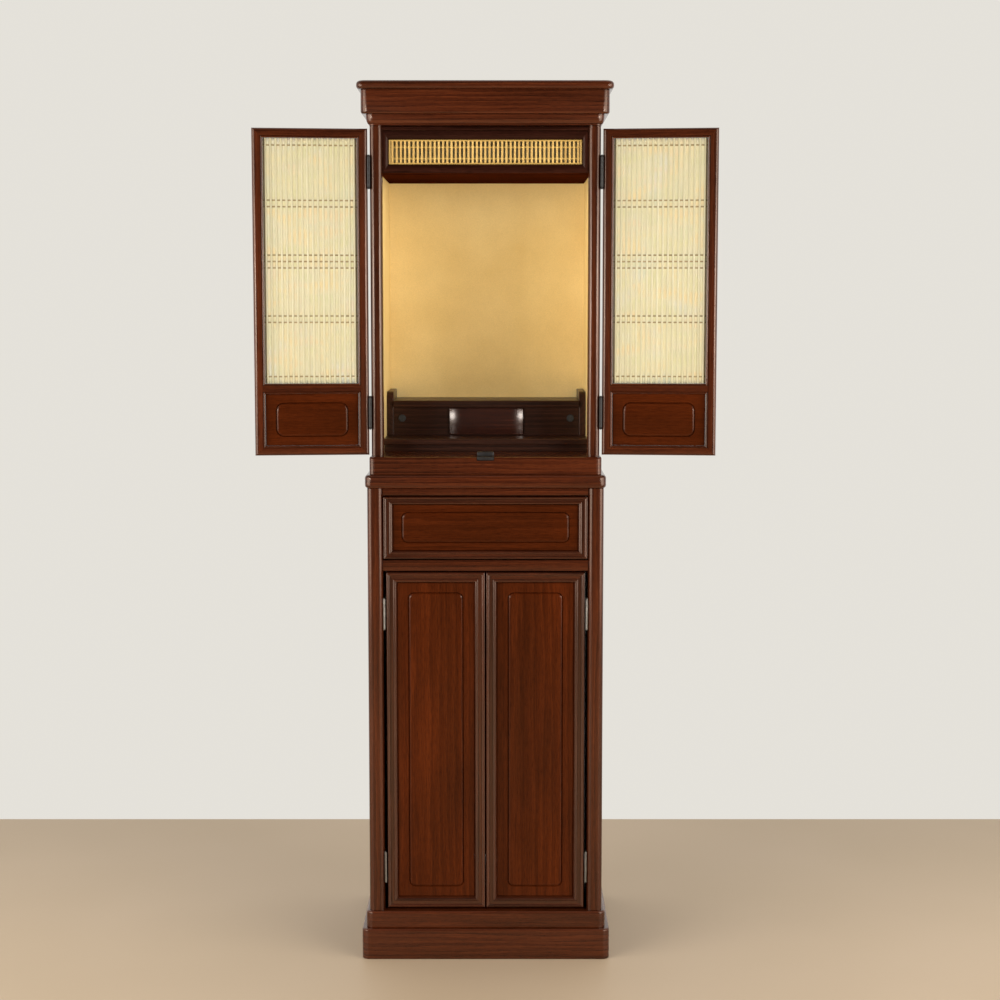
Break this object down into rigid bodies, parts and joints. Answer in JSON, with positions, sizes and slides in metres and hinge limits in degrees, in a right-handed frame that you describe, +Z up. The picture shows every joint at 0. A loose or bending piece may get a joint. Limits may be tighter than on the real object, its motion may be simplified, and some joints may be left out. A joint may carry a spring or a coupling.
{
  "type": "household altar cabinet",
  "caption": "Tall dark wood household altar cabinet: a gold-lined shrine with open screen doors and a stage, over a drawer and a cupboard with framed doors.",
  "frame": {"origin": "on the floor under the middle of the plinth", "axes": "+Z up, the front faces -Y, +X to the viewer's right when facing the front"},
  "size_m": [0.9824, 0.45, 1.88],
  "materials": {
    "dark_wood": "dark reddish brown stain on open-grained hardwood, satin lacquer",
    "panel_wood": "reddish brown stain on veneered panels, satin lacquer",
    "stage_wood": "very dark brown lacquer, satin",
    "inside_wood": "plain brown board, matte",
    "gold_lining": "thin board faced with fine-textured gold foil, satin",
    "gold_slats": "pale gold lacquer, satin",
    "screen_cloth": "stretched cream cloth with a faint yellow pattern, matte",
    "black_metal": "black, semi-gloss",
    "steel": "bright",
    "black_rubber": "matte"
  },
  "bodies": {
    "cabinet": {"plinth": "dark_wood", "base_board": "dark_wood", "lower_post_left": "dark_wood", "lower_post_right": "dark_wood", "lower_side_left": "dark_wood", "lower_side_right": "dark_wood", "lower_back": "inside_wood", "top_rail": "dark_wood", "middle_rail": "dark_wood", "drawer_board": "inside_wood", "lower_hinge_left_bottom": "steel", "lower_hinge_left_top": "steel", "lower_hinge_right_bottom": "steel", "lower_hinge_right_top": "steel", "waist_board": "dark_wood", "deck_board": "dark_wood", "door_catch": "black_metal", "upper_post_left": "dark_wood", "upper_post_right": "dark_wood", "upper_side_left": "dark_wood", "upper_side_right": "dark_wood", "upper_back": "inside_wood", "gold_lining_left": "gold_lining", "gold_lining_right": "gold_lining", "gold_lining_back": "gold_lining", "ceiling_board": "stage_wood", "transom_frame": "dark_wood", "transom_header": "dark_wood", "transom_grille": "gold_slats", "stage_step": "stage_wood", "stage_apron": "stage_wood", "stage_slab": "stage_wood", "stage_cheek_left": "stage_wood", "stage_cheek_right": "stage_wood", "cable_cover_left": "black_rubber", "cable_cover_right": "black_rubber", "screen_hinge_left_bottom": "black_metal", "screen_hinge_left_top": "black_metal", "screen_hinge_right_bottom": "black_metal", "screen_hinge_right_top": "black_metal", "cornice_foot": "dark_wood", "cornice_fascia": "dark_wood", "cornice_cap": "dark_wood"},
    "screen_door_left": {"screen_frame_left": "dark_wood", "screen_panel_left": "panel_wood", "screen_backing_left": "screen_cloth", "screen_slats_left": "gold_slats"},
    "screen_door_right": {"screen_frame_right": "dark_wood", "screen_panel_right": "panel_wood", "screen_backing_right": "screen_cloth", "screen_slats_right": "gold_slats"},
    "lower_door_left": {"lower_door_frame_left": "dark_wood", "lower_door_panel_left": "panel_wood"},
    "lower_door_right": {"lower_door_frame_right": "dark_wood", "lower_door_panel_right": "panel_wood"},
    "drawer": {"drawer_frame": "dark_wood", "drawer_panel": "panel_wood", "drawer_tray": "inside_wood"},
    "small_drawer": {"small_drawer_front": "panel_wood", "small_drawer_tray": "inside_wood"}
  },
  "joints": [
    {"name": "screen_door_left_hinge", "type": "hinge", "parent": "cabinet", "child": "screen_door_left", "pos_m": [-0.246, -0.177, 1.44], "axis": [0, 0, 1], "range_deg": [-4, 174]},
    {"name": "screen_door_right_hinge", "type": "hinge", "parent": "cabinet", "child": "screen_door_right", "pos_m": [0.246, -0.177, 1.44], "axis": [0, 0, 1], "range_deg": [-174, 4]},
    {"name": "lower_door_left_hinge", "type": "hinge", "parent": "cabinet", "child": "lower_door_left", "pos_m": [-0.2165, -0.2045, 0.477], "axis": [0, 0, 1], "range_deg": [-105, 0]},
    {"name": "lower_door_right_hinge", "type": "hinge", "parent": "cabinet", "child": "lower_door_right", "pos_m": [0.2165, -0.2045, 0.477], "axis": [0, 0, 1], "range_deg": [0, 105]},
    {"name": "drawer_slide", "type": "slide", "parent": "cabinet", "child": "drawer", "axis": [0, -1, 0], "range_m": [0, 0.27]},
    {"name": "small_drawer_slide", "type": "slide", "parent": "cabinet", "child": "small_drawer", "axis": [0, -1, 0], "range_m": [0, 0.07]}
  ]
}
